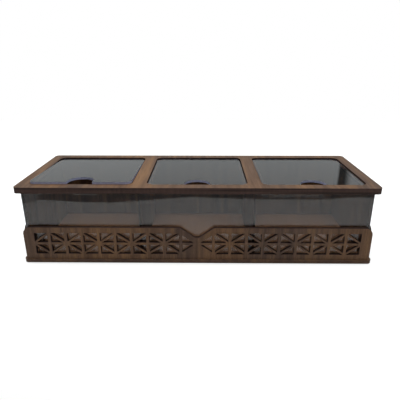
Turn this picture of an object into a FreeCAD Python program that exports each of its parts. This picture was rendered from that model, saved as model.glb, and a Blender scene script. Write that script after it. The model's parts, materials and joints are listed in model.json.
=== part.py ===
"""Tea organizer box: a wooden plinth and lattice skirt, a smoked acrylic front wall with wooden
walls and dividers behind it, and a two-board wooden top frame with three loose acrylic lids.

Millimetres. X runs along the box, Y from front to back, Z up. The origin is on the surface that
the box stands on, under the middle of the box.
"""
import FreeCAD, Part
import math
import os

Vec = FreeCAD.Vector

# Outside size, taken at the top frame; the plinth has the same outline
box_width = 380.0
box_depth = 134.0
box_height = 87.5

# Sheet thicknesses
thick_board = 4.0
thin_board = 2.5
wall_sheet = 2.8
lid_sheet = 2.6

# How far the frame and the plinth reach past the walls
frame_overhang = 5.5

# Corners of the frame and the plinth in plan
frame_corner = 5.0

# Stick-on pads under the plinth
pad_diameter = 12.0
pad_thickness = 0.8
pad_inset = 14.0

# Skirt panels; the front one is cut from the thick board
skirt_height = 37.2
skirt_corner = 7.5

# V notch in the front panel
notch_top_width = 36.6
notch_floor_width = 5.0
notch_depth = 11.4
notch_floor_radius = 3.0
notch_lip_radius = 2.5

# Star lattice in the front panel: stars on every second upright, plain uprights between them
lattice_cells_each_side = 10
lattice_end_margin = 9.8
lattice_top_margin = 6.4
lattice_bottom_margin = 6.0
upright_width = 3.2
mid_rib_width = 2.6
diagonal_rib_width = 2.0

# Top frame
rail_width = 11.5
bar_width = 14.8
opening_corner = 8.0
ledge_width = 4.0
ledge_corner = 5.0

# Lids
lid_side_gap = 1.0
lid_end_gap = 1.0
lid_notch_width = 27.0
lid_notch_depth = 19.5
touch_gap = 0.02

# The left lid lies pushed forward, with its front edge up on the front rail
lid_catch = 0.6

# Tabs that lock the walls and dividers into the boards
wall_tab_length = 30.0
divider_tab_length = 24.0
divider_tab_spacing = 70.0
slot_gap = 0.1

# Levels, from the table upwards
plinth_bottom = pad_thickness
plinth_top = plinth_bottom + thick_board
floor_top = plinth_top + thin_board
skirt_top = plinth_top + skirt_height
frame_top = box_height
ledge_top = frame_top - thick_board
ledge_bottom = ledge_top - thin_board

# Outlines in plan
walls_width = box_width - 2 * frame_overhang
walls_depth = box_depth - 2 * frame_overhang
inside_width = walls_width - 2 * wall_sheet
inside_depth = walls_depth - 2 * wall_sheet
skirt_width = walls_width + 2 * thin_board

# The lattice fills the front panel up to its margins
lattice_pitch = (skirt_width / 2 - lattice_end_margin) / lattice_cells_each_side
lattice_height = skirt_height - lattice_top_margin - lattice_bottom_margin

# Three equal compartments, each bar of the frame centred over a divider
compartment_width = (inside_width - 2 * wall_sheet) / 3
divider_x = (compartment_width + wall_sheet) / 2
opening_depth = box_depth - 2 * rail_width
middle_opening_width = 2 * divider_x - bar_width
side_opening_width = box_width / 2 - rail_width - divider_x - bar_width / 2
side_opening_x = divider_x + bar_width / 2 + side_opening_width / 2
openings = {
    "left": (-side_opening_x, side_opening_width),
    "middle": (0.0, middle_opening_width),
    "right": (side_opening_x, side_opening_width),
}


def block(x_low, x_high, y_low, y_high, z_low, z_high):
    """A plain sheet or tab between six planes."""
    size = (x_high - x_low, y_high - y_low, z_high - z_low)
    return Part.makeBox(*size, Vec(x_low, y_low, z_low))


def rounded_rectangle(centre_x, centre_y, width, depth, radius):
    """Closed wire at Z 0, with a quarter round at each corner."""
    reach_x = width / 2 - radius
    reach_y = depth / 2 - radius
    edges = []
    points = []
    for quarter in range(4):
        angle = math.radians(90 * quarter)
        sign_x = 1 if quarter in (0, 3) else -1
        sign_y = 1 if quarter in (0, 1) else -1
        middle = Vec(centre_x + sign_x * reach_x, centre_y + sign_y * reach_y, 0)
        corner = [
            middle + Vec(radius * math.cos(angle + turn), radius * math.sin(angle + turn), 0)
            for turn in (0, math.pi / 4, math.pi / 2)
        ]
        points.append(corner)
    for index, corner in enumerate(points):
        edges.append(Part.Arc(*corner).toShape())
        edges.append(Part.LineSegment(corner[2], points[(index + 1) % 4][0]).toShape())
    return Part.Wire(edges)


def plate(outline, holes, z_low, thickness):
    """A flat board cut from an outline with holes, laid at its level."""
    face = Part.makeFace(Part.makeCompound([outline] + holes), "Part::FaceMakerBullseye")
    solid = face.extrude(Vec(0, 0, thickness))
    solid.translate(Vec(0, 0, z_low))
    return solid


def polygon(points):
    """Closed wire through (along, up) points of a standing panel, drawn at Y 0."""
    corners = [Vec(along, 0, up) for along, up in points]
    return Part.makePolygon(corners + corners[:1])


def standing_panel(outline, holes, thickness):
    """A standing board cut from an XZ outline with holes; its front face is at Y 0."""
    face = Part.makeFace(Part.makeCompound([outline] + holes), "Part::FaceMakerBullseye")
    return face.extrude(Vec(0, thickness, 0))


def fillet_outline(points, radii):
    """Closed XZ wire through points, with each corner rounded by its radius, 0 for sharp."""
    edges = []
    ends = []
    count = len(points)
    for index, (point, radius) in enumerate(zip(points, radii)):
        here = Vec(point[0], 0, point[1])
        before = Vec(points[index - 1][0], 0, points[index - 1][1])
        after = Vec(points[(index + 1) % count][0], 0, points[(index + 1) % count][1])
        if radius == 0:
            ends.append((here, here))
            continue
        back = (before - here).normalize()
        ahead = (after - here).normalize()
        half_angle = back.getAngle(ahead) / 2
        reach = radius / math.tan(half_angle)
        start = here + back * reach
        stop = here + ahead * reach
        inward = (back + ahead).normalize()
        centre = here + inward * (radius / math.sin(half_angle))
        through = centre - inward * radius
        edges.append(Part.Arc(start, through, stop).toShape())
        ends.append((start, stop))
    for index in range(count):
        start = ends[index][1]
        stop = ends[(index + 1) % count][0]
        edges.append(Part.LineSegment(start, stop).toShape())
    return Part.Wire(Part.__sortEdges__(edges))


def foot_pad(side_x, side_y):
    """Thin round pad stuck under one corner of the plinth."""
    x = side_x * (box_width / 2 - pad_inset)
    y = side_y * (box_depth / 2 - pad_inset)
    return Part.makeCylinder(pad_diameter / 2, pad_thickness, Vec(x, y, 0))


def plinth():
    """Base board; it projects past the skirt all round."""
    outline = rounded_rectangle(0, 0, box_width, box_depth, frame_corner)
    return plate(outline, [], plinth_bottom, thick_board)


def floor_panel():
    """Inner board that the four walls close round, slotted for the dividers' tabs."""
    panel = block(-inside_width / 2, inside_width / 2, -inside_depth / 2, inside_depth / 2,
                  plinth_top, floor_top)
    for side in (-1, 1):
        panel = panel.cut(divider_slots(side, plinth_top, floor_top))
    return panel


def star_cell_openings():
    """The two triangles of a quarter cell, as (across, up) from the star to the plain upright."""
    half_height = lattice_height / 2
    slope = half_height / lattice_pitch
    diagonal = diagonal_rib_width / 2 * math.hypot(1, slope)
    upright = upright_width / 2
    mid_rib = mid_rib_width / 2
    far = lattice_pitch - upright
    outer = [
        (upright, half_height),
        (upright, upright * slope + diagonal),
        ((half_height - diagonal) / slope, half_height),
    ]
    inner = [
        (far, mid_rib),
        (far, far * slope - diagonal),
        ((mid_rib + diagonal) / slope, mid_rib),
    ]
    return outer, inner


def lattice_openings():
    """All triangles of the front lattice; beside the V notch only the inner ones are cut."""
    outer, inner = star_cell_openings()
    centre_up = lattice_bottom_margin + lattice_height / 2
    wires = []
    for side in (-1, 1):
        for cell in range(lattice_cells_each_side):
            star = cell if cell % 2 == 0 else cell + 1
            towards = 1 if cell % 2 == 0 else -1
            shapes = [inner] if cell == 0 else [outer, inner]
            for shape in shapes:
                for up_side in (-1, 1):
                    points = [
                        (side * (star * lattice_pitch + towards * across), centre_up + up_side * up)
                        for across, up in shape
                    ]
                    wires.append(polygon(points))
    return wires


def skirt_front():
    """Front panel with rounded top corners, the V notch and the star lattice."""
    half = skirt_width / 2
    half_top = notch_top_width / 2
    half_floor = notch_floor_width / 2
    floor_up = skirt_height - notch_depth
    points = [
        (-half, 0), (half, 0), (half, skirt_height), (half_top, skirt_height),
        (half_floor, floor_up), (-half_floor, floor_up), (-half_top, skirt_height),
        (-half, skirt_height),
    ]
    radii = [0, 0, skirt_corner, notch_lip_radius, notch_floor_radius, notch_floor_radius,
             notch_lip_radius, skirt_corner]
    panel = standing_panel(fillet_outline(points, radii), lattice_openings(), thick_board)
    panel.translate(Vec(0, -walls_depth / 2 - thick_board, plinth_top))
    return panel


def plain_skirt_panel(length):
    """Panel with rounded top corners and no lattice, standing at Y 0."""
    half = length / 2
    points = [(-half, 0), (half, 0), (half, skirt_height), (-half, skirt_height)]
    outline = fillet_outline(points, [0, 0, skirt_corner, skirt_corner])
    return standing_panel(outline, [], thin_board)


def skirt_back():
    """Plain panel behind the box, as long as the front one."""
    panel = plain_skirt_panel(skirt_width)
    panel.translate(Vec(0, walls_depth / 2, plinth_top))
    return panel


def skirt_side(side):
    """Plain panel between the front and back ones."""
    panel = plain_skirt_panel(walls_depth)
    panel.rotate(Vec(0, 0, 0), Vec(0, 0, 1), 90)
    middle = skirt_width / 2 - thin_board / 2
    panel.translate(Vec(thin_board / 2 + side * middle, 0, plinth_top))
    return panel


def long_wall(side):
    """Front or back wall, the full width of the body, with a tab over each compartment."""
    outer = side * walls_depth / 2
    inner = side * inside_depth / 2
    y_low, y_high = sorted((outer, inner))
    wall = block(-walls_width / 2, walls_width / 2, y_low, y_high, plinth_top, ledge_bottom)
    for tab in long_wall_tabs(side, 0):
        wall = wall.fuse(tab)
    return wall.removeSplitter()


def long_wall_tabs(side, gap):
    """Tabs on the top edge of the front or back wall, or their slots when a gap is given."""
    middle = side * (walls_depth - wall_sheet) / 2
    half = wall_sheet / 2 + gap
    tabs = []
    for centre_x, _ in openings.values():
        reach = wall_tab_length / 2 + gap
        tabs.append(block(centre_x - reach, centre_x + reach, middle - half, middle + half,
                          ledge_bottom, ledge_top))
    return tabs


def side_wall(side):
    """Left or right wall, between the long walls, with one tab on its top edge."""
    x_low, x_high = sorted((side * walls_width / 2, side * inside_width / 2))
    wall = block(x_low, x_high, -inside_depth / 2, inside_depth / 2, plinth_top, ledge_bottom)
    return wall.fuse(side_wall_tab(side, 0)).removeSplitter()


def side_wall_tab(side, gap):
    """Tab on the top edge of a side wall, or its slot when a gap is given."""
    middle = side * (walls_width - wall_sheet) / 2
    half = wall_sheet / 2 + gap
    reach = wall_tab_length / 2 + gap
    return block(middle - half, middle + half, -reach, reach, ledge_bottom, ledge_top)


def divider_slots(side, z_low, z_high, gap=slot_gap):
    """The two slots, or tabs when the gap is 0, of one divider between two levels."""
    half = wall_sheet / 2 + gap
    reach = divider_tab_length / 2 + gap
    x = side * divider_x
    slots = [
        block(x - half, x + half, y - reach, y + reach, z_low, z_high)
        for y in (-divider_tab_spacing / 2, divider_tab_spacing / 2)
    ]
    return slots[0].fuse(slots[1])


def divider(side):
    """Board between two compartments, tabbed into the floor panel and the ledge frame."""
    x = side * divider_x
    board = block(x - wall_sheet / 2, x + wall_sheet / 2, -inside_depth / 2, inside_depth / 2,
                  floor_top, ledge_bottom)
    board = board.fuse(divider_slots(side, plinth_top, floor_top, 0))
    board = board.fuse(divider_slots(side, ledge_bottom, ledge_top, 0))
    return board.removeSplitter()


def ledge_frame():
    """Lower board of the top frame: its smaller openings leave a ledge under every lid."""
    outline = rounded_rectangle(0, 0, box_width, box_depth, frame_corner)
    holes = [
        rounded_rectangle(x, 0, width - 2 * ledge_width, opening_depth - 2 * ledge_width,
                          ledge_corner)
        for x, width in openings.values()
    ]
    board = plate(outline, holes, ledge_bottom, thin_board)
    slots = long_wall_tabs(-1, slot_gap) + long_wall_tabs(1, slot_gap)
    slots += [side_wall_tab(side, slot_gap) for side in (-1, 1)]
    slots += [divider_slots(side, ledge_bottom, ledge_top) for side in (-1, 1)]
    return board.cut(Part.makeCompound(slots))


def top_frame():
    """Upper board of the top frame: its openings are the recesses that the lids drop into."""
    outline = rounded_rectangle(0, 0, box_width, box_depth, frame_corner)
    holes = [
        rounded_rectangle(x, 0, width, opening_depth, opening_corner)
        for x, width in openings.values()
    ]
    return plate(outline, holes, ledge_top, thick_board)


def flat_lid(opening_width):
    """Lid blank at Z 0, its front edge at Y 0, with a U-shaped finger notch at its front."""
    width = opening_width - 2 * lid_side_gap
    depth = opening_depth - 2 * lid_end_gap
    corner = opening_corner - lid_side_gap
    radius = lid_notch_width / 2
    throat = lid_notch_depth - radius
    blank = plate(rounded_rectangle(0, depth / 2, width, depth, corner), [], 0, lid_sheet)
    notch = Part.makeCylinder(radius, lid_sheet, Vec(0, throat, 0))
    mouth = block(-radius, radius, -lid_end_gap, throat, 0, lid_sheet)
    return blank.cut(notch.fuse(mouth)).removeSplitter()


def seated_lid(name):
    """Lid that lies on its ledge, in the middle of its recess."""
    centre_x, width = openings[name]
    lid = flat_lid(width)
    lid.translate(Vec(centre_x, lid_end_gap - opening_depth / 2, ledge_top))
    return lid


def rest_setback():
    """How far behind its front edge a pushed lid first meets the frame.

    Its round corners run over the larger round corners of the opening, and the lid rests where
    the two arcs cross.
    """
    corner = opening_corner - lid_side_gap
    push = lid_catch + lid_end_gap
    sine = (opening_corner ** 2 - corner ** 2 - push ** 2) / (2 * corner * push)
    return corner * (1 - max(-1.0, min(1.0, sine)))


def raised_lid(name):
    """Lid pushed forward: its front lies on the front rail, its back edge on the ledge."""
    centre_x, width = openings[name]
    depth = opening_depth - 2 * lid_end_gap
    slope = thick_board / (depth - rest_setback())
    tilt = math.atan(slope)
    front_height = frame_top + touch_gap + rest_setback() * slope
    lid = flat_lid(width)
    lid.rotate(Vec(0, 0, 0), Vec(1, 0, 0), -math.degrees(tilt))
    lid.translate(Vec(centre_x, -opening_depth / 2 - lid_catch, front_height))
    return lid


def build():
    """Every piece by its node name."""
    pieces = {
        "plinth": plinth(),
        "floor_panel": floor_panel(),
        "skirt_front": skirt_front(),
        "skirt_back": skirt_back(),
        "skirt_left": skirt_side(-1),
        "skirt_right": skirt_side(1),
        "wall_front": long_wall(-1),
        "wall_back": long_wall(1),
        "wall_left": side_wall(-1),
        "wall_right": side_wall(1),
        "divider_left": divider(-1),
        "divider_right": divider(1),
        "ledge_frame": ledge_frame(),
        "top_frame": top_frame(),
        "lid_left": raised_lid("left"),
        "lid_middle": seated_lid("middle"),
        "lid_right": seated_lid("right"),
    }
    for end, side_y in (("front", -1), ("back", 1)):
        for hand, side_x in (("left", -1), ("right", 1)):
            pieces[f"foot_pad_{end}_{hand}"] = foot_pad(side_x, side_y)
    return pieces


os.makedirs("parts", exist_ok=True)
for node, shape in build().items():
    shape.exportStep(f"parts/{node}.step")
    bounds = shape.BoundBox
    print(f"{node}: {len(shape.Solids)} solid, valid {shape.isValid()}, "
          f"{bounds.XLength:.1f} x {bounds.YLength:.1f} x {bounds.ZLength:.1f} mm, "
          f"Z {bounds.ZMin:.2f} to {bounds.ZMax:.2f}")
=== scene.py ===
"""Looks of a tea organizer box, and the studio that it stands in.

The box has walnut boards with laser-burnt edges, a star lattice in its front board, a smoked
acrylic front wall and three loose smoked lids. Lengths are metres. X runs along the box, Y from
front to back, Z up.
"""
import json
import math

import bmesh
import bpy
import numpy as np
from bpy.props import FloatProperty, FloatVectorProperty, IntProperty, PointerProperty
from mathutils import Matrix, Vector

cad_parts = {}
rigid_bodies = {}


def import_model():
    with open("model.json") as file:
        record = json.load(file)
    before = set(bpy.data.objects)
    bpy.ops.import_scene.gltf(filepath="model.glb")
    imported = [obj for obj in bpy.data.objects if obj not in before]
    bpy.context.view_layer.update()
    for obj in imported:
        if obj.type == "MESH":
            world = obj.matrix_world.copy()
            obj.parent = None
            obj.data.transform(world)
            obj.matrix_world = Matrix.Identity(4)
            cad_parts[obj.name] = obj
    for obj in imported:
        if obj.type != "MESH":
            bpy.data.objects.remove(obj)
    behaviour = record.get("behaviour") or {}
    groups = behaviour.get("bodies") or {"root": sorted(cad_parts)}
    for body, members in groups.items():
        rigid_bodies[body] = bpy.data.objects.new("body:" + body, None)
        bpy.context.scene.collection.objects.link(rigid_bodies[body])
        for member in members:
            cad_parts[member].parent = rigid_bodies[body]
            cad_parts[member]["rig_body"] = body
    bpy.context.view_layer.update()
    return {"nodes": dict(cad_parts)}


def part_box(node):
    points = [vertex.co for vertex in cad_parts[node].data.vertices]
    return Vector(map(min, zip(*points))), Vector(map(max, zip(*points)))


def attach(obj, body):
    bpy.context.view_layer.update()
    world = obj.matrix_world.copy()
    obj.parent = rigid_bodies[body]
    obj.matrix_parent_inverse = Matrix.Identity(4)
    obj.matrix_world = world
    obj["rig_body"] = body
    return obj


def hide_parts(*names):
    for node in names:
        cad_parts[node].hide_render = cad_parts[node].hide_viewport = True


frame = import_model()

bl_info = {
    "name": "Tea Organizer Box",
    "version": (1, 0, 0),
    "blender": (4, 5, 0),
    "location": "View3D > Sidebar > Tea Box",
    "description": "Builds the boards, lattice, smoked front and lids of a tea organizer box",
    "category": "Object",
}

MM = 0.001

# How a board lies or stands: its axes along the grain, across it, and through the board
LYING = "YXZ"
FACING_FRONT = "ZXY"
FACING_SIDE = "ZYX"

# Facets that meet at less than this belong to an arc, and are shaded smooth
ARC_STEP = math.radians(20)

# Edges sharper than this are rounded, in so many steps
ROUNDED_FROM = math.radians(35)
ROUNDED_STEPS = 2

# How squarely a face looks through the sheet: less than this on a cut side, more on a flat one
CUT_BELOW = 0.2
FLAT_ABOVE = 0.98

# How much of the burnt colour the cut edges take; the plinth and the walls take less of it and look
# paler there
BOARD_BURN = 1.0
PLINTH_EDGE_SHARE = 0.45
WALL_BURN = 0.5

# How far the grain sways across a board and through it
GRAIN_SWAY = (0.0, 12 * MM, 4 * MM)

WELD = 1e-6
FILLET_STEPS = 8
PAD_SEGMENTS = 48

# Rounding of a pad's rim, as a share of the pad's thickness
PAD_RIM = 1 / 3

# The white sheet: its straight back edge, and the slightly wavy front edge that the box reflects
SHEET_REACH = 0.85
SHEET_FRONT = [(-1.6, -0.234), (-0.258, -0.236), (-0.250, -0.252), (-0.176, -0.242),
               (-0.136, -0.241), (-0.014, -0.266), (0.070, -0.258), (0.186, -0.257),
               (0.250, -0.267), (1.6, -0.267)]

# The dark table under the sheet
TABLE_REACH = 4.0
TABLE_LEVEL = -0.5 * MM

# Paler patches of the table in front of the sheet, as (left, right, back)
PATCHES = [(-0.60, -0.256, -0.230), (-0.205, -0.166, -0.274), (0.100, 0.200, -0.266)]
PATCH_FRONT = -0.32
PATCH_LEVEL = -0.25 * MM

# Where the room turns from its front to its backdrop, along Y, and to its ceiling, along Z
FRONT_ENDS = -0.35
BACKDROP_STARTS = 0.15
BACKDROP_ENDS = 0.45
CEILING_STARTS = 0.95
ROOM_TINT = (0.95, 1.0, 1.01, 1)

# The dim gap in the backdrop, as angles to the right of straight behind
GAP_STARTS = math.radians(19.3)
GAP_ENDS = math.radians(19.9)
GAP_EDGE = math.radians(0.3)
GAP_FADE = math.radians(1.0)
GAP_LEVEL = 0.10

SOFTBOX_SIZE = (1.1, 0.8)
SOFTBOX_PLACE = Vector((-0.02, -0.02, 0.95))
SENSOR_WIDTH = 36.0
NEAREST_SEEN = 0.01


class WalnutSettings(bpy.types.PropertyGroup):
    """Finish of the stained boards."""

    dark: FloatVectorProperty(
        name="Dark Grain", description="Colour of the darkest growth lines",
        subtype="COLOR", size=4, default=(0.050, 0.026, 0.016, 1))
    middle: FloatVectorProperty(
        name="Middle Grain", description="Colour of most of the board",
        subtype="COLOR", size=4, default=(0.098, 0.054, 0.033, 1))
    light: FloatVectorProperty(
        name="Light Grain", description="Colour of the palest, most orange streaks",
        subtype="COLOR", size=4, default=(0.162, 0.087, 0.041, 1))
    cool_patch: FloatVectorProperty(
        name="Cool Patches", description="Colour that the broad greyer patches lean towards",
        subtype="COLOR", size=4, default=(0.068, 0.045, 0.035, 1))
    warm_patch: FloatVectorProperty(
        name="Warm Patches", description="Colour that the broad redder patches lean towards",
        subtype="COLOR", size=4, default=(0.172, 0.086, 0.036, 1))
    burnt: FloatVectorProperty(
        name="Burnt Edge", description="Colour of the laser-cut edges",
        subtype="COLOR", size=4, default=(0.038, 0.021, 0.017, 1))
    edge_round: FloatProperty(
        name="Edge Rounding", description="Width of the softened edge round each board",
        subtype="DISTANCE", unit="LENGTH", default=0.18 * MM, min=0.0)


class FloorSettings(bpy.types.PropertyGroup):
    """Finish of the bare floor board."""

    dark: FloatVectorProperty(
        name="Dark Grain", description="Colour of the darker grain of the floor board",
        subtype="COLOR", size=4, default=(0.27, 0.142, 0.070, 1))
    light: FloatVectorProperty(
        name="Light Grain", description="Colour of the lighter grain of the floor board",
        subtype="COLOR", size=4, default=(0.32, 0.172, 0.086, 1))
    burnt: FloatVectorProperty(
        name="Burnt Edge", description="Colour of the floor board's laser-cut edges",
        subtype="COLOR", size=4, default=(0.05, 0.03, 0.02, 1))


class AcrylicSettings(bpy.types.PropertyGroup):
    """Finish of the smoked sheets."""

    smoke: FloatVectorProperty(
        name="Smoke Tint", description="Colour that a deep block of the sheet lets through",
        subtype="COLOR", size=4, default=(0.448, 0.42, 0.42, 1))
    density: FloatProperty(
        name="Smoke Density", description="How much a metre of the sheet absorbs",
        default=330.0, min=0.0)
    cut_edge: FloatVectorProperty(
        name="Cut Edge", description="Colour of the satin cut edges of the lids",
        subtype="COLOR", size=4, default=(0.36, 0.37, 0.52, 1))
    fit_gap: FloatProperty(
        name="Fit Gap", description="Air between a sheet and what it is fitted against",
        subtype="DISTANCE", unit="LENGTH", default=0.04 * MM, min=0.0)
    edge_round: FloatProperty(
        name="Edge Rounding", description="Width of the polished edge round each sheet",
        subtype="DISTANCE", unit="LENGTH", default=0.25 * MM, min=0.0)


class LatticeSettings(bpy.types.PropertyGroup):
    """Sizes of the star lattice and the notch in the front board."""

    cells: IntProperty(
        name="Cells Each Side", description="Cells from the middle of the board to its end",
        default=10, min=1)
    end_margin: FloatProperty(
        name="End Margin", description="Solid board beyond the last cell",
        subtype="DISTANCE", unit="LENGTH", default=9.8 * MM)
    top_margin: FloatProperty(
        name="Top Margin", description="Solid board above the cells",
        subtype="DISTANCE", unit="LENGTH", default=6.4 * MM)
    bottom_margin: FloatProperty(
        name="Bottom Margin", description="Solid board below the cells",
        subtype="DISTANCE", unit="LENGTH", default=6.0 * MM)
    upright: FloatProperty(
        name="Upright Width", description="Width of the uprights between the cells",
        subtype="DISTANCE", unit="LENGTH", default=3.2 * MM)
    mid_rib: FloatProperty(
        name="Middle Rib Width", description="Width of the rib along the middle of the cells",
        subtype="DISTANCE", unit="LENGTH", default=2.6 * MM)
    diagonal_rib: FloatProperty(
        name="Diagonal Rib Width", description="Width of the slanted ribs of the stars",
        subtype="DISTANCE", unit="LENGTH", default=2.0 * MM)
    corner: FloatProperty(
        name="Corner Radius", description="Radius of the board's two top corners",
        subtype="DISTANCE", unit="LENGTH", default=7.5 * MM)
    notch_top: FloatProperty(
        name="Notch Top Width", description="Width of the V notch at the board's top edge",
        subtype="DISTANCE", unit="LENGTH", default=36.6 * MM)
    notch_floor: FloatProperty(
        name="Notch Floor Width", description="Width of the V notch at its floor",
        subtype="DISTANCE", unit="LENGTH", default=5.0 * MM)
    notch_depth: FloatProperty(
        name="Notch Depth", description="Depth of the V notch",
        subtype="DISTANCE", unit="LENGTH", default=11.4 * MM)
    notch_lip_radius: FloatProperty(
        name="Notch Lip Radius", description="Rounding where the notch leaves the top edge",
        subtype="DISTANCE", unit="LENGTH", default=2.5 * MM)
    notch_floor_radius: FloatProperty(
        name="Notch Floor Radius", description="Rounding at the floor of the notch",
        subtype="DISTANCE", unit="LENGTH", default=3.0 * MM)


class StudioSettings(bpy.types.PropertyGroup):
    """Camera, light and the white sheet under the box."""

    eye: FloatVectorProperty(
        name="Camera Place", description="Where the camera stands",
        subtype="TRANSLATION", unit="LENGTH", size=3, default=(0.0082, -0.4528, 0.2200))
    pitch: FloatProperty(
        name="Camera Pitch", description="How far the camera looks down",
        subtype="ANGLE", unit="ROTATION", default=math.radians(20.65))
    yaw: FloatProperty(
        name="Camera Yaw", description="How far the camera turns to the right",
        subtype="ANGLE", unit="ROTATION", default=math.radians(-0.73))
    roll: FloatProperty(
        name="Camera Roll", description="How far the camera leans",
        subtype="ANGLE", unit="ROTATION", default=math.radians(-0.09))
    lens: FloatProperty(
        name="Lens", description="Focal length on a 36 mm wide sensor", default=36.0, min=1.0)
    softbox_power: FloatProperty(
        name="Softbox Power", description="Power of the large lamp above the box",
        unit="POWER", default=11.0, min=0.0)
    backdrop_level: FloatProperty(
        name="Backdrop Level", description="Brightness of the pale backdrop behind the box",
        default=0.54, min=0.0)
    ceiling_level: FloatProperty(
        name="Ceiling Level", description="Brightness of the room above the box",
        default=0.60, min=0.0)
    front_level: FloatProperty(
        name="Front Level", description="Brightness of the room in front of the box",
        default=0.18, min=0.0)


# Node trees


def feed(tree, socket, value):
    """Links a socket to its source, or sets it to a plain value."""
    if isinstance(value, TreeNumber):
        value = value.source
    if isinstance(value, bpy.types.NodeSocket):
        tree.links.new(value, socket)
    else:
        socket.default_value = value


def add_node(tree, kind, inputs=None, **settings):
    """Adds a node, sets its properties, and feeds its inputs by name or place."""
    node = tree.nodes.new(kind)
    for name, value in settings.items():
        setattr(node, name, value)
    for key, value in (inputs or {}).items():
        feed(tree, node.inputs[key], value)
    return node


class TreeNumber:
    """A number inside a node tree, so that a formula reads as plain arithmetic."""

    def __init__(self, tree, source):
        self.tree = tree
        self.source = source

    def maths(self, operation, first, second):
        node = add_node(self.tree, "ShaderNodeMath", {0: first, 1: second}, operation=operation)
        return TreeNumber(self.tree, node.outputs[0])

    def __add__(self, other):
        return self.maths("ADD", self, other)

    def __radd__(self, other):
        return self.maths("ADD", other, self)

    def __sub__(self, other):
        return self.maths("SUBTRACT", self, other)

    def __rsub__(self, other):
        return self.maths("SUBTRACT", other, self)

    def __mul__(self, other):
        return self.maths("MULTIPLY", self, other)

    def __rmul__(self, other):
        return self.maths("MULTIPLY", other, self)

    def __truediv__(self, other):
        return self.maths("DIVIDE", self, other)

    def __neg__(self):
        return self.maths("MULTIPLY", self, -1.0)

    def __mod__(self, other):
        return self.maths("MODULO", self, other)

    def power(self, exponent):
        return self.maths("POWER", self, exponent)

    def below(self, limit):
        return self.maths("LESS_THAN", self, limit)


def new_material(name):
    """A material with its own node tree, a Principled shader and its output."""
    material = bpy.data.materials.new(name)
    material.use_nodes = True
    tree = material.node_tree
    shader = tree.nodes["Principled BSDF"]
    return material, tree, shader


def board_coordinates(tree, axes):
    """Object coordinates in the order along the grain, across it, and through the board."""
    place = add_node(tree, "ShaderNodeTexCoord")
    parts = add_node(tree, "ShaderNodeSeparateXYZ", {0: place.outputs["Object"]})
    ordered = {index: parts.outputs[axis] for index, axis in enumerate(axes)}
    return add_node(tree, "ShaderNodeCombineXYZ", ordered).outputs[0]


def stretched_noise(tree, place, stretch, detail=2.0, roughness=0.5):
    """Noise with its own number of lumps per metre along each axis."""
    spread = add_node(tree, "ShaderNodeVectorMath", {0: place, 1: stretch}, operation="MULTIPLY")
    noise = add_node(tree, "ShaderNodeTexNoise",
                     {"Vector": spread.outputs[0], "Scale": 1.0, "Detail": detail,
                      "Roughness": roughness})
    return noise.outputs["Fac"]


def ramp(tree, factor, stops):
    """Colour ramp through (place, colour) stops."""
    node = add_node(tree, "ShaderNodeValToRGB", {"Fac": factor})
    elements = node.color_ramp.elements
    while len(elements) < len(stops):
        elements.new(0.5)
    for element, (place, colour) in zip(elements, stops):
        element.position = place
        element.color = colour
    return node.outputs["Color"]


def grey(level):
    """A neutral colour."""
    return (level, level, level, 1.0)


def mixed(tree, factor, first, second, blend="MIX"):
    """Mix of two colours."""
    node = add_node(tree, "ShaderNodeMix", data_type="RGBA", blend_type=blend)
    feed(tree, node.inputs[0], factor)
    feed(tree, node.inputs[6], first)
    feed(tree, node.inputs[7], second)
    return node.outputs[2]


# Finishes


def walnut(axes, settings):
    """Stained walnut board with burnt, finely striped cut edges."""
    material, tree, shader = new_material("walnut_" + axes.lower())
    place = board_coordinates(tree, axes)
    drift = stretched_noise(tree, place, (9.0, 30.0, 30.0), detail=1.0)
    sway = add_node(tree, "ShaderNodeVectorMath", {0: drift, 1: GRAIN_SWAY}, operation="MULTIPLY")
    wavy = add_node(tree, "ShaderNodeVectorMath", {0: place, 1: sway.outputs[0]},
                    operation="ADD").outputs[0]

    figure = stretched_noise(tree, wavy, (7.0, 150.0, 150.0), detail=3.0, roughness=0.55)
    streaks = stretched_noise(tree, wavy, (35.0, 1100.0, 1100.0), detail=2.0)
    pores = stretched_noise(tree, place, (260.0, 4200.0, 4200.0), detail=1.0)
    tone = stretched_noise(tree, place, (5.0, 21.0, 21.0), detail=1.0)

    colour = ramp(tree, figure, [(0.32, settings.dark), (0.50, settings.middle),
                                 (0.68, settings.light)])
    colour = mixed(tree, 0.35, colour,
                   ramp(tree, tone, [(0.35, settings.cool_patch), (0.65, settings.warm_patch)]))
    colour = mixed(tree, 1.0, colour, ramp(tree, streaks, [(0.30, grey(0.80)), (0.70, grey(1.14))]),
                   "MULTIPLY")
    colour = mixed(tree, 1.0, colour, ramp(tree, pores, [(0.34, grey(0.60)), (0.42, grey(1.0))]),
                   "MULTIPLY")

    scorch = stretched_noise(tree, place, (1500.0, 1500.0, 25.0), detail=1.0)
    plies = stretched_noise(tree, place, (9.0, 9.0, 520.0), detail=1.0)
    burnt = mixed(tree, 1.0, settings.burnt,
                  ramp(tree, scorch, [(0.30, grey(0.82)), (0.70, grey(1.22))]), "MULTIPLY")
    burnt = mixed(tree, 1.0, burnt,
                  ramp(tree, plies, [(0.36, grey(0.62)), (0.64, grey(1.45))]), "MULTIPLY")
    cut = add_node(tree, "ShaderNodeAttribute", attribute_name="cut_edge").outputs["Fac"]
    tree.links.new(mixed(tree, cut, colour, burnt), shader.inputs["Base Color"])

    satin = ramp(tree, streaks, [(0.25, grey(0.62)), (0.75, grey(0.50))])
    feed(tree, shader.inputs["Roughness"], mixed(tree, cut, satin, grey(0.75)))
    shader.inputs["Specular IOR Level"].default_value = 0.18
    relief = mixed(tree, 0.5, streaks, pores)
    bump = add_node(tree, "ShaderNodeBump",
                    {"Height": mixed(tree, cut, relief, scorch), "Strength": 0.25,
                     "Distance": 0.08 * MM})
    tree.links.new(bump.outputs[0], shader.inputs["Normal"])
    return material


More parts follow.
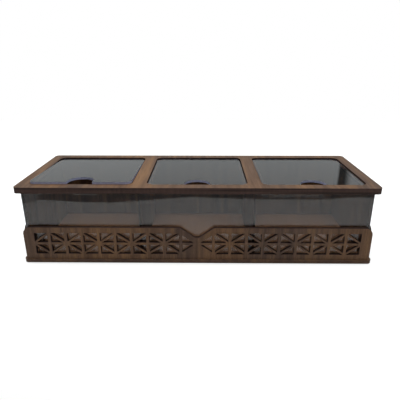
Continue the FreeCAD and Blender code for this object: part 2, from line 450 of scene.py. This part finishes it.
def bare_board(settings):
    """Bare brown board inside the box, with a faint grain and dark cut edges."""
    material, tree, shader = new_material("bare_board")
    place = board_coordinates(tree, LYING)
    figure = stretched_noise(tree, place, (8.0, 130.0, 130.0), detail=3.0)
    fibres = stretched_noise(tree, place, (70.0, 1600.0, 1600.0), detail=2.0)
    colour = ramp(tree, figure, [(0.30, settings.dark), (0.70, settings.light)])
    colour = mixed(tree, 1.0, colour, ramp(tree, fibres, [(0.3, grey(0.86)), (0.7, grey(1.08))]),
                   "MULTIPLY")
    cut = add_node(tree, "ShaderNodeAttribute", attribute_name="cut_edge").outputs["Fac"]
    tree.links.new(mixed(tree, cut, colour, settings.burnt), shader.inputs["Base Color"])
    feed(tree, shader.inputs["Roughness"], ramp(tree, fibres, [(0.3, grey(0.72)), (0.7, grey(0.58))]))
    bump = add_node(tree, "ShaderNodeBump",
                    {"Height": fibres, "Strength": 0.3, "Distance": 0.1 * MM})
    tree.links.new(bump.outputs[0], shader.inputs["Normal"])
    return material


def smoked_acrylic(settings):
    """Polished smoked sheet, tinted by its depth, with faint smudges."""
    material, tree, shader = new_material("smoked_acrylic")
    place = add_node(tree, "ShaderNodeTexCoord").outputs["Object"]
    smudges = stretched_noise(tree, place, (45.0, 45.0, 45.0), detail=4.0, roughness=0.6)
    shader.inputs["Base Color"].default_value = (1, 1, 1, 1)
    shader.inputs["IOR"].default_value = 1.49
    shader.inputs["Transmission Weight"].default_value = 1.0
    feed(tree, shader.inputs["Roughness"],
         ramp(tree, smudges, [(0.45, grey(0.0)), (0.75, grey(0.02))]))
    smoke = add_node(tree, "ShaderNodeVolumeAbsorption",
                     {"Color": settings.smoke, "Density": settings.density})
    tree.links.new(smoke.outputs[0], tree.nodes["Material Output"].inputs["Volume"])
    return material


def cut_acrylic(settings):
    """Satin, blue-violet edge that the laser leaves on a smoked sheet."""
    material, tree, shader = new_material("cut_acrylic")
    place = add_node(tree, "ShaderNodeTexCoord").outputs["Object"]
    stripes = stretched_noise(tree, place, (1400.0, 1400.0, 60.0), detail=1.0)
    dim = tuple(0.7 * part for part in settings.cut_edge[:3]) + (1.0,)
    feed(tree, shader.inputs["Base Color"],
         ramp(tree, stripes, [(0.3, dim), (0.7, tuple(settings.cut_edge))]))
    feed(tree, shader.inputs["Roughness"], ramp(tree, stripes, [(0.3, grey(0.38)), (0.7, grey(0.26))]))
    return material


def pad_rubber():
    """Matt black pad with a fine grain."""
    material, tree, shader = new_material("pad_rubber")
    place = add_node(tree, "ShaderNodeTexCoord").outputs["Object"]
    grain = stretched_noise(tree, place, (2500.0, 2500.0, 2500.0), detail=2.0)
    feed(tree, shader.inputs["Base Color"],
         ramp(tree, grain, [(0.3, grey(0.018)), (0.7, grey(0.034))]))
    feed(tree, shader.inputs["Roughness"], ramp(tree, grain, [(0.3, grey(0.95)), (0.7, grey(0.8))]))
    bump = add_node(tree, "ShaderNodeBump", {"Height": grain, "Strength": 0.4, "Distance": 0.05 * MM})
    tree.links.new(bump.outputs[0], shader.inputs["Normal"])
    return material


def finish(name, make, *args):
    """The material of that name, made the first time that it is asked for."""
    return bpy.data.materials.get(name) or make(*args)


# Meshes


def solid_copy(node):
    """A packed solid's mesh with its loose triangles joined."""
    bm = bmesh.new()
    bm.from_mesh(frame["nodes"][node].data)
    bmesh.ops.remove_doubles(bm, verts=bm.verts, dist=WELD)
    bm.normal_update()
    return bm


def draw_in(bm, gap):
    """Moves every face inwards by a gap, so that the sheet stands clear of its neighbours."""
    moves = []
    for vertex in bm.verts:
        normals = np.array([face.normal for face in vertex.link_faces])
        moves.append(np.linalg.lstsq(normals, np.full(len(normals), -gap), rcond=1e-3)[0])
    for vertex, move in zip(bm.verts, moves):
        vertex.co += Vector(move)


def object_from(bm, name, materials):
    """A linked object from a bmesh, which is freed."""
    mesh = bpy.data.meshes.new(name)
    bm.to_mesh(mesh)
    bm.free()
    for material in materials:
        mesh.materials.append(material)
    piece = bpy.data.objects.new(name, mesh)
    bpy.context.scene.collection.objects.link(piece)
    return piece


def bake_modifiers(piece):
    """Gives a piece its evaluated mesh and takes its modifiers off."""
    depsgraph = bpy.context.evaluated_depsgraph_get()
    mesh = bpy.data.meshes.new_from_object(piece.evaluated_get(depsgraph))
    piece.modifiers.clear()
    piece.data = mesh
    mesh.name = piece.name


def soften_edges(piece, width):
    """Rounds the edges between the flat and the cut sides of a sheet."""
    bevel = piece.modifiers.new("edge", "BEVEL")
    bevel.width = width
    bevel.segments = ROUNDED_STEPS
    bevel.limit_method = "ANGLE"
    bevel.angle_limit = ROUNDED_FROM
    bevel.loop_slide = False
    bake_modifiers(piece)


def cut_sides(piece, through):
    """Which faces of a sheet were cut, and which are its two flat sides, as two lists."""
    axis = "XYZ".index(through)
    normals = np.array([polygon.normal[axis] for polygon in piece.data.polygons])
    return np.abs(normals) < CUT_BELOW, np.abs(normals) > FLAT_ABOVE


def smooth_arcs(piece, through):
    """Smooths the facets of the arcs, and keeps the two flat sides truly flat."""
    mesh = piece.data
    mesh.shade_smooth()
    mesh.set_sharp_from_angle(angle=ARC_STEP)
    _, flat = cut_sides(piece, through)
    for polygon in mesh.polygons:
        if flat[polygon.index]:
            for loop in polygon.loop_indices:
                mesh.edges[mesh.loops[loop].edge_index].use_edge_sharp = True


def mark_cut_edges(piece, through, burn):
    """Writes how burnt each point of a board is: burn on its cut sides, and 0 on its flat ones."""
    cut, flat = cut_sides(piece, through)
    marks = np.full(len(piece.data.vertices), burn / 2, np.float32)
    for chosen, level in ((flat, 0.0), (cut, burn)):
        for polygon in piece.data.polygons:
            if chosen[polygon.index]:
                marks[list(polygon.vertices)] = level
    attribute = piece.data.attributes.new("cut_edge", "FLOAT", "POINT")
    attribute.data.foreach_set("value", marks)


def paint_cut_faces(piece, through):
    """Gives the cut sides of a sheet its second material."""
    cut, _ = cut_sides(piece, through)
    for polygon in piece.data.polygons:
        polygon.material_index = int(cut[polygon.index])


def seat(piece, node, through):
    """Puts a finished piece in the place of its packed node, on the same body."""
    smooth_arcs(piece, through)
    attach(piece, frame["nodes"][node]["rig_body"])
    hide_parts(node)


def piece_name(node):
    """The name of the piece that stands for a node."""
    return node + "_piece"


def board(node, material, axes, burn=BOARD_BURN):
    """A wooden board that replaces its node, with softened and burnt edges."""
    piece = object_from(solid_copy(node), piece_name(node), [material])
    soften_edges(piece, bpy.context.scene.tea_box_walnut.edge_round)
    mark_cut_edges(piece, axes[2], burn)
    seat(piece, node, axes[2])


def walnut_for(axes):
    """The walnut finish of the boards that lie or stand along those axes."""
    return finish("walnut_" + axes.lower(), walnut, axes, bpy.context.scene.tea_box_walnut)


def walnut_boards(places, burn=BOARD_BURN):
    """Stained boards, from the way that each node lies or stands."""
    for node, axes in places.items():
        board(node, walnut_for(axes), axes, burn)


def smoked_sheet(node, through):
    """A smoked sheet that replaces its node, drawn in by the fit gap, with satin cut edges."""
    settings = bpy.context.scene.tea_box_acrylic
    bm = solid_copy(node)
    draw_in(bm, settings.fit_gap)
    materials = [finish("smoked_acrylic", smoked_acrylic, settings),
                 finish("cut_acrylic", cut_acrylic, settings)]
    piece = object_from(bm, piece_name(node), materials)
    soften_edges(piece, settings.edge_round)
    paint_cut_faces(piece, through)
    seat(piece, node, through)


# Star lattice


def tree_input(tree, name, kind, minimum=None):
    """Adds a named input to a geometry tree and returns its identifier."""
    socket = tree.interface.new_socket(name=name, in_out="INPUT", socket_type=kind)
    if minimum is not None:
        socket.min_value = minimum
    return socket.identifier


def point(tree, across, up):
    """A point of the flat board, from two numbers."""
    return add_node(tree, "ShaderNodeCombineXYZ", {0: across, 1: up}).outputs[0]


def by_index(tree, kind, choices):
    """A field that gives each point of a curve its own choice."""
    index = add_node(tree, "GeometryNodeInputIndex").outputs[0]
    switch = add_node(tree, "GeometryNodeIndexSwitch", {"Index": index}, data_type=kind)
    while len(switch.index_switch_items) < len(choices):
        switch.index_switch_items.new()
    for place, choice in enumerate(choices):
        feed(tree, switch.inputs[str(place)], choice)
    return switch.outputs[0]


def closed_outline(tree, points):
    """A closed curve through the points, in their order."""
    ring = add_node(tree, "GeometryNodeMeshCircle", {"Vertices": len(points)})
    curve = add_node(tree, "GeometryNodeMeshToCurve", {"Mesh": ring.outputs[0]})
    moved = add_node(tree, "GeometryNodeSetPosition",
                     {"Geometry": curve.outputs[0],
                      "Position": by_index(tree, "VECTOR", points)})
    return moved.outputs[0]


def joined(tree, *geometries):
    """Several geometries as one."""
    node = add_node(tree, "GeometryNodeJoinGeometry")
    for geometry in geometries:
        tree.links.new(geometry, node.inputs[0])
    return node.outputs[0]


def mirrored(tree, geometry):
    """A geometry with its reflection in the line along the middle of the cells."""
    lower = add_node(tree, "GeometryNodeTransform",
                     {"Geometry": geometry, "Scale": (1.0, -1.0, 1.0)})
    return joined(tree, geometry, lower.outputs[0])


def star_openings(tree, size):
    """The openings of the star lattice, as closed curves on the flat board."""
    pitch = (size["Width"] / 2 - size["End Margin"]) / size["Cells"]
    cell_height = size["Height"] - size["Top Margin"] - size["Bottom Margin"]
    half = cell_height / 2
    slope = half / pitch
    rib = size["Diagonal Rib"] / 2 * (1 + slope * slope).power(0.5)
    near = size["Upright"] / 2
    far = pitch - near
    middle = size["Middle Rib"] / 2
    outer = closed_outline(tree, [
        point(tree, near, half),
        point(tree, near, near * slope + rib),
        point(tree, (half - rib) / slope, half),
    ])
    inner = closed_outline(tree, [
        point(tree, far, middle),
        point(tree, far, far * slope - rib),
        point(tree, (middle + rib) / slope, middle),
    ])
    full_cell = mirrored(tree, joined(tree, outer, inner))
    inner_cell = mirrored(tree, inner)

    # One point for each cell; a cell is drawn from its star towards the plain upright
    line = add_node(tree, "GeometryNodeMeshLine",
                    {"Count": size["Cells"] * 2, "Offset": (0.0, 0.0, 0.0)})
    index = TreeNumber(tree, add_node(tree, "GeometryNodeInputIndex").outputs[0])
    cell = index % size["Cells"]
    side = index.below(size["Cells"]) * 2 - 1
    odd = cell % 2
    across = side * (cell + odd) * pitch
    cells = add_node(tree, "GeometryNodeSetPosition",
                     {"Geometry": line.outputs[0],
                      "Position": point(tree, across, size["Bottom Margin"] + half)})
    # The geometry that is linked last gets the lowest instance index
    choices = add_node(tree, "GeometryNodeGeometryToInstance")
    for choice in (inner_cell, full_cell):
        tree.links.new(choice, choices.inputs[0])
    facing = add_node(tree, "ShaderNodeCombineXYZ", {0: side * (1 - 2 * odd), 1: 1.0, 2: 1.0})
    stars = add_node(tree, "GeometryNodeInstanceOnPoints",
                     {"Points": cells.outputs[0], "Instance": choices.outputs[0],
                      "Pick Instance": True, "Instance Index": cell.below(0.5),
                      "Scale": facing.outputs[0]})
    return add_node(tree, "GeometryNodeRealizeInstances", {0: stars.outputs[0]}).outputs[0]


def notched_outline(tree, size):
    """The outline of the flat board, with its two round corners and the V notch."""
    board_half = size["Width"] / 2
    top = size["Height"]
    floor = top - size["Notch Depth"]
    lip = size["Notch Top"] / 2
    foot = size["Notch Floor"] / 2
    outline = closed_outline(tree, [
        point(tree, -board_half, 0.0), point(tree, board_half, 0.0),
        point(tree, board_half, top), point(tree, lip, top),
        point(tree, foot, floor), point(tree, -foot, floor),
        point(tree, -lip, top), point(tree, -board_half, top),
    ])
    radii = [0.0, 0.0, size["Corner Radius"], size["Notch Lip Radius"],
             size["Notch Floor Radius"], size["Notch Floor Radius"],
             size["Notch Lip Radius"], size["Corner Radius"]]
    rounded = add_node(tree, "GeometryNodeFilletCurve",
                       {"Curve": outline, "Count": FILLET_STEPS,
                        "Radius": by_index(tree, "FLOAT", radii)}, mode="POLY")
    return rounded.outputs[0]


def standing_board(tree, outline, openings, thickness):
    """The flat outline, filled round its openings, drawn out to a board and stood on its edge."""
    both = joined(tree, outline, openings)
    face = add_node(tree, "GeometryNodeFillCurve", {"Curve": both}, mode="TRIANGLES")
    drawn = add_node(tree, "GeometryNodeExtrudeMesh",
                     {"Mesh": face.outputs[0], "Offset": (0.0, 0.0, 1.0),
                      "Offset Scale": thickness, "Individual": False})
    back = add_node(tree, "GeometryNodeFlipFaces", {"Mesh": face.outputs[0]})
    whole = add_node(tree, "GeometryNodeMergeByDistance",
                     {"Geometry": joined(tree, drawn.outputs[0], back.outputs[0]),
                      "Distance": WELD})
    stood = add_node(tree, "GeometryNodeTransform",
                     {"Geometry": whole.outputs[0], "Rotation": (math.pi / 2, 0.0, 0.0)})
    return stood.outputs[0]


def lattice_tree():
    """A board with a star lattice and a V notch, as a geometry tree and its inputs' identifiers."""
    tree = bpy.data.node_groups.new("Star Lattice Board", "GeometryNodeTree")
    names = ["Width", "Height", "Thickness", "End Margin", "Top Margin", "Bottom Margin",
             "Upright", "Middle Rib", "Diagonal Rib", "Corner Radius", "Notch Top", "Notch Floor",
             "Notch Depth", "Notch Lip Radius", "Notch Floor Radius"]
    identifiers = {name: tree_input(tree, name, "NodeSocketFloat", 0.0) for name in names}
    identifiers["Cells"] = tree_input(tree, "Cells", "NodeSocketInt", 1)
    identifiers["Material"] = tree_input(tree, "Material", "NodeSocketMaterial")
    tree.interface.new_socket(name="Board", in_out="OUTPUT", socket_type="NodeSocketGeometry")
    given = add_node(tree, "NodeGroupInput").outputs
    size = {name: TreeNumber(tree, given[name]) for name in [*names, "Cells"]}

    openings = star_openings(tree, size)
    outline = notched_outline(tree, size)
    stood = standing_board(tree, outline, openings, size["Thickness"])
    real = add_node(tree, "GeometryNodeRealizeInstances", {0: stood})
    painted = add_node(tree, "GeometryNodeSetMaterial",
                       {"Geometry": real.outputs[0], "Material": given["Material"]})
    add_node(tree, "NodeGroupOutput", {"Board": painted.outputs[0]})
    return tree, identifiers


# Operators, one for each piece or group of like pieces


class TEABOX_OT_plinth(bpy.types.Operator):
    """Build the base board that projects past the skirt"""

    bl_idname = "teabox.plinth"
    bl_label = "Plinth"

    def execute(self, context):
        walnut_boards({"plinth": LYING}, PLINTH_EDGE_SHARE)
        return {"FINISHED"}


class TEABOX_OT_floor_panel(bpy.types.Operator):
    """Build the bare board that makes the floor of the compartments"""

    bl_idname = "teabox.floor_panel"
    bl_label = "Floor Panel"

    def execute(self, context):
        material = finish("bare_board", bare_board, context.scene.tea_box_floor)
        board("floor_panel", material, LYING)
        return {"FINISHED"}


class TEABOX_OT_lattice_board(bpy.types.Operator):
    """Build the front board with its star lattice and V notch"""

    bl_idname = "teabox.lattice_board"
    bl_label = "Lattice Board"

    def execute(self, context):
        lattice = context.scene.tea_box_lattice
        material = walnut_for(FACING_FRONT)
        low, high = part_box("skirt_front")
        tree, identifiers = lattice_tree()
        values = {
            "Width": high.x - low.x,
            "Height": high.z - low.z,
            "Thickness": high.y - low.y,
            "Cells": lattice.cells,
            "End Margin": lattice.end_margin,
            "Top Margin": lattice.top_margin,
            "Bottom Margin": lattice.bottom_margin,
            "Upright": lattice.upright,
            "Middle Rib": lattice.mid_rib,
            "Diagonal Rib": lattice.diagonal_rib,
            "Corner Radius": lattice.corner,
            "Notch Top": lattice.notch_top,
            "Notch Floor": lattice.notch_floor,
            "Notch Depth": lattice.notch_depth,
            "Notch Lip Radius": lattice.notch_lip_radius,
            "Notch Floor Radius": lattice.notch_floor_radius,
            "Material": material,
        }
        piece = object_from(bmesh.new(), piece_name("skirt_front"), [])
        modifier = piece.modifiers.new("lattice", "NODES")
        modifier.node_group = tree
        for name, value in values.items():
            modifier[identifiers[name]] = value
        bake_modifiers(piece)
        if not piece.data.polygons:
            raise RuntimeError("the lattice tree gave no faces")
        # Realizing leaves an empty material slot before the board's own
        piece.data.materials.clear()
        piece.data.materials.append(material)
        piece.data.transform(Matrix.Translation((0.0, high.y, low.z)))
        soften_edges(piece, context.scene.tea_box_walnut.edge_round)
        mark_cut_edges(piece, FACING_FRONT[2], BOARD_BURN)
        seat(piece, "skirt_front", FACING_FRONT[2])
        return {"FINISHED"}


class TEABOX_OT_plain_boards(bpy.types.Operator):
    """Build the back and side boards of the skirt"""

    bl_idname = "teabox.plain_boards"
    bl_label = "Back and Side Boards"

    def execute(self, context):
        walnut_boards({"skirt_back": FACING_FRONT, "skirt_left": FACING_SIDE,
                       "skirt_right": FACING_SIDE})
        return {"FINISHED"}


class TEABOX_OT_walls(bpy.types.Operator):
    """Build the smoked front wall, and the wooden walls and dividers behind it"""

    bl_idname = "teabox.walls"
    bl_label = "Walls and Dividers"

    def execute(self, context):
        smoked_sheet("wall_front", "Y")
        walnut_boards({"wall_back": FACING_FRONT, "wall_left": FACING_SIDE,
                       "wall_right": FACING_SIDE, "divider_left": FACING_SIDE,
                       "divider_right": FACING_SIDE}, WALL_BURN)
        return {"FINISHED"}


class TEABOX_OT_top_boards(bpy.types.Operator):
    """Build the two boards of the top frame"""

    bl_idname = "teabox.top_boards"
    bl_label = "Top Frame"

    def execute(self, context):
        walnut_boards({"ledge_frame": LYING, "top_frame": LYING})
        return {"FINISHED"}


class TEABOX_OT_lids(bpy.types.Operator):
    """Build the three loose lids"""

    bl_idname = "teabox.lids"
    bl_label = "Lids"

    def execute(self, context):
        for node in ("lid_left", "lid_middle", "lid_right"):
            smoked_sheet(node, "Z")
        return {"FINISHED"}


class TEABOX_OT_foot_pads(bpy.types.Operator):
    """Build the four thin pads under the plinth, each with a rounded rim"""

    bl_idname = "teabox.foot_pads"
    bl_label = "Foot Pads"

    def execute(self, context):
        material = finish("pad_rubber", pad_rubber)
        pads = [node for node in sorted(frame["nodes"]) if node.startswith("foot_pad")]
        if not pads:
            raise RuntimeError("the frame has no foot pads")
        for node in pads:
            low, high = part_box(node)
            radius = (high.x - low.x) / 2
            thickness = high.z - low.z
            bm = bmesh.new()
            bmesh.ops.create_cone(bm, cap_ends=True, segments=PAD_SEGMENTS, radius1=radius,
                                  radius2=radius, depth=thickness,
                                  matrix=Matrix.Translation((low + high) / 2))
            piece = object_from(bm, piece_name(node), [material])
            soften_edges(piece, thickness * PAD_RIM)
            seat(piece, node, "Z")
        return {"FINISHED"}


# Studio


def stage_sheet(name, front, back, height, material):
    """A flat sheet of the studio, from the plan points of its front edge back to a straight edge."""
    bm = bmesh.new()
    near = [bm.verts.new((x, y, height)) for x, y in front]
    far = [bm.verts.new((x, back, height)) for x, y in front]
    for place in range(len(front) - 1):
        bm.faces.new((near[place], near[place + 1], far[place + 1], far[place]))
    object_from(bm, name, [material])


def stage_material(name, seen, felt):
    """A studio surface: seen is what the camera meets, felt is what light and gloss meet.

    Both are (diffuse level, glow).
    """
    material = bpy.data.materials.new(name)
    material.use_nodes = True
    tree = material.node_tree
    tree.nodes.clear()
    branches = []
    for diffuse, glow in (felt, seen):
        matt = add_node(tree, "ShaderNodeBsdfDiffuse", {"Color": grey(diffuse)})
        light = add_node(tree, "ShaderNodeEmission", {"Color": grey(1.0), "Strength": glow})
        both = add_node(tree, "ShaderNodeAddShader", {0: matt.outputs[0], 1: light.outputs[0]})
        branches.append(both.outputs[0])
    path = add_node(tree, "ShaderNodeLightPath")
    chosen = add_node(tree, "ShaderNodeMixShader",
                      {0: path.outputs["Is Camera Ray"], 1: branches[0], 2: branches[1]})
    add_node(tree, "ShaderNodeOutputMaterial", {"Surface": chosen.outputs[0]})
    return material


def studio_world(settings):
    """Pale backdrop behind, a dimmer room in front, and plain white where the camera looks."""
    world = bpy.data.worlds.new("studio")
    bpy.context.scene.world = world
    world.use_nodes = True
    tree = world.node_tree
    tree.nodes.clear()
    direction = add_node(tree, "ShaderNodeTexCoord").outputs["Generated"]
    parts = add_node(tree, "ShaderNodeSeparateXYZ", {0: direction}).outputs
    behind = add_node(tree, "ShaderNodeMapRange",
                      {"Value": parts["Y"], "From Min": FRONT_ENDS, "From Max": BACKDROP_STARTS,
                       "To Min": settings.front_level, "To Max": settings.backdrop_level},
                      interpolation_type="SMOOTHSTEP")
    above = add_node(tree, "ShaderNodeMapRange",
                     {"Value": parts["Z"], "From Min": BACKDROP_ENDS, "From Max": CEILING_STARTS},
                     interpolation_type="SMOOTHSTEP")
    level = add_node(tree, "ShaderNodeMix",
                     {0: above.outputs[0], 2: behind.outputs[0], 3: settings.ceiling_level},
                     data_type="FLOAT")

    # The backdrop ends on the right, and a dim gap shows between it and the next bright thing
    azimuth = add_node(tree, "ShaderNodeMath", {0: parts["X"], 1: parts["Y"]},
                       operation="ARCTAN2").outputs[0]
    starts = add_node(tree, "ShaderNodeMapRange",
                      {"Value": azimuth, "From Min": GAP_STARTS - GAP_EDGE, "From Max": GAP_STARTS,
                       "To Min": 1.0, "To Max": GAP_LEVEL})
    ends = add_node(tree, "ShaderNodeMapRange",
                    {"Value": azimuth, "From Min": GAP_ENDS, "From Max": GAP_ENDS + GAP_FADE,
                     "To Min": 0.0, "To Max": 1.0})
    gap = add_node(tree, "ShaderNodeMath", {0: starts.outputs[0], 1: ends.outputs[0]},
                   operation="MAXIMUM")
    level = add_node(tree, "ShaderNodeMath", {0: level.outputs[0], 1: gap.outputs[0]},
                     operation="MULTIPLY")
    path = add_node(tree, "ShaderNodeLightPath")
    shown = add_node(tree, "ShaderNodeMix",
                     {0: path.outputs["Is Camera Ray"], 2: level.outputs[0], 3: 1.0},
                     data_type="FLOAT")
    tint = mixed(tree, path.outputs["Is Camera Ray"], ROOM_TINT, grey(1.0))
    light = add_node(tree, "ShaderNodeBackground", {"Color": tint, "Strength": shown.outputs[0]})
    add_node(tree, "ShaderNodeOutputWorld", {"Surface": light.outputs[0]})


def lay_sheets():
    """The white sheet, the dark table under it, and the table's paler patches."""
    white = stage_material("white_sheet", seen=(0.56, 0.60), felt=(0.90, 0.0))
    dark = stage_material("dark_table", seen=(0.0, 1.0), felt=(0.02, 0.23))
    pale = stage_material("pale_patch", seen=(0.0, 1.0), felt=(0.50, 0.0))
    stage_sheet("white_sheet", SHEET_FRONT, SHEET_REACH, 0.0, white)
    table = [(-TABLE_REACH, -TABLE_REACH), (TABLE_REACH, -TABLE_REACH)]
    stage_sheet("dark_table", table, TABLE_REACH, TABLE_LEVEL, dark)
    for place, (left, right, back) in enumerate(PATCHES):
        front = [(left, PATCH_FRONT), (right, PATCH_FRONT)]
        stage_sheet(f"patch_{place}", front, back, PATCH_LEVEL, pale)


def hang_softbox(settings):
    """The large lamp above the box, turned towards it."""
    data = bpy.data.lights.new("softbox", "AREA")
    data.shape = "RECTANGLE"
    data.size, data.size_y = SOFTBOX_SIZE
    data.energy = settings.softbox_power
    lamp = bpy.data.objects.new("softbox", data)
    lamp.location = SOFTBOX_PLACE
    lamp.rotation_euler = (-lamp.location).to_track_quat("-Z", "Y").to_euler()
    bpy.context.scene.collection.objects.link(lamp)


def place_camera(settings):
    """The camera, turned by its yaw, pitch and roll from looking level along Y."""
    forward = Vector((math.sin(settings.yaw) * math.cos(settings.pitch),
                      math.cos(settings.yaw) * math.cos(settings.pitch),
                      -math.sin(settings.pitch)))
    level = Vector((math.cos(settings.yaw), -math.sin(settings.yaw), 0.0))
    upward = level.cross(forward)
    right = math.cos(settings.roll) * level + math.sin(settings.roll) * upward
    up = right.cross(forward)
    turn = Matrix((right, up, -forward)).transposed().to_4x4()
    data = bpy.data.cameras.new("camera")
    data.lens = settings.lens
    data.sensor_width = SENSOR_WIDTH
    data.clip_start = NEAREST_SEEN
    camera = bpy.data.objects.new("camera", data)
    camera.matrix_world = Matrix.Translation(settings.eye) @ turn
    bpy.context.scene.collection.objects.link(camera)
    bpy.context.scene.camera = camera


class TEABOX_OT_stage(bpy.types.Operator):
    """Set up the white sheet, the table, the lamp, the room and the camera"""

    bl_idname = "teabox.stage"
    bl_label = "Stage"

    def execute(self, context):
        settings = context.scene.tea_box_studio
        context.scene.view_settings.view_transform = "Standard"
        lay_sheets()
        studio_world(settings)
        hang_softbox(settings)
        place_camera(settings)
        return {"FINISHED"}


PIECE_OPERATORS = (
    TEABOX_OT_plinth,
    TEABOX_OT_floor_panel,
    TEABOX_OT_lattice_board,
    TEABOX_OT_plain_boards,
    TEABOX_OT_walls,
    TEABOX_OT_top_boards,
    TEABOX_OT_lids,
    TEABOX_OT_foot_pads,
)


class TEABOX_PT_pieces(bpy.types.Panel):
    """Lists the settings and the pieces in the sidebar"""

    bl_idname = "TEABOX_PT_pieces"
    bl_label = "Tea Organizer Box"
    bl_space_type = "VIEW_3D"
    bl_region_type = "UI"
    bl_category = "Tea Box"

    def draw(self, context):
        layout = self.layout
        for attribute, group in SETTINGS.items():
            column = layout.column(align=True)
            column.label(text=group.__doc__)
            for name in group.__annotations__:
                column.prop(getattr(context.scene, attribute), name)
        column = layout.column(align=True)
        for operator in (*PIECE_OPERATORS, TEABOX_OT_stage):
            column.operator(operator.bl_idname)


SETTINGS = {
    "tea_box_walnut": WalnutSettings,
    "tea_box_floor": FloorSettings,
    "tea_box_acrylic": AcrylicSettings,
    "tea_box_lattice": LatticeSettings,
    "tea_box_studio": StudioSettings,
}
CLASSES = (*SETTINGS.values(), *PIECE_OPERATORS, TEABOX_OT_stage, TEABOX_PT_pieces)


def register():
    for cls in CLASSES:
        bpy.utils.register_class(cls)
    for attribute, group in SETTINGS.items():
        setattr(bpy.types.Scene, attribute, PointerProperty(type=group))


def unregister():
    for attribute in SETTINGS:
        delattr(bpy.types.Scene, attribute)
    for cls in reversed(CLASSES):
        bpy.utils.unregister_class(cls)


def main():
    """Builds every piece and the stage."""
    register()
    for operator in (*PIECE_OPERATORS, TEABOX_OT_stage):
        group, name = operator.bl_idname.split(".")
        getattr(getattr(bpy.ops, group), name)()


if __name__ == "__main__":
    main()
